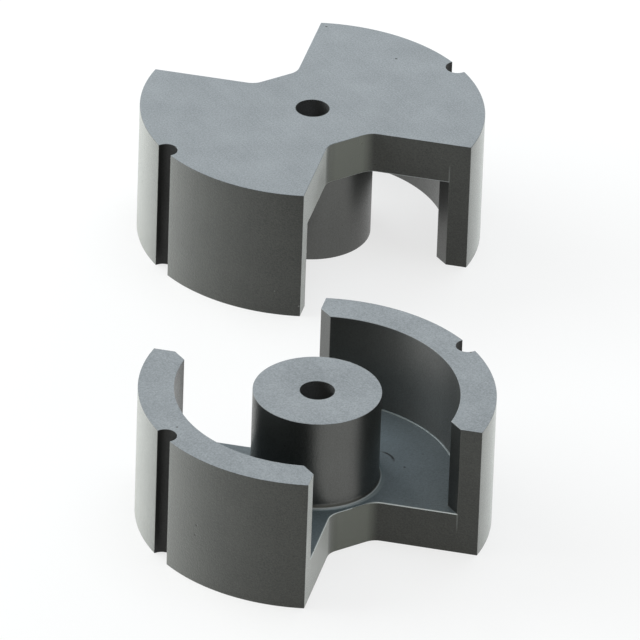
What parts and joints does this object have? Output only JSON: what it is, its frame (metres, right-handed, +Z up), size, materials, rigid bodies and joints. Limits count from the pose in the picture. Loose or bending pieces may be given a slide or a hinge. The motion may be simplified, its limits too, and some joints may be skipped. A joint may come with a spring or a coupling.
{
  "type": "pm ferrite core",
  "caption": "Ferrite core in mating halves, each a disc with curved skirts, a bored round post and side cut-outs, to enclose the coil of a power transformer or choke.",
  "frame": {"origin": "on the surface that the halves stand on, midway between the axes of their centre holes", "axes": "+Z up, along the centre holes; in each half the skirts lie along X and the side cut-outs along Y"},
  "size_m": [0.1568, 0.1878, 0.035],
  "materials": {
    "ferrite": "satin"
  },
  "bodies": {
    "root": {"core_half_face_up": "ferrite", "core_half_face_down": "ferrite"}
  },
  "joints": []
}
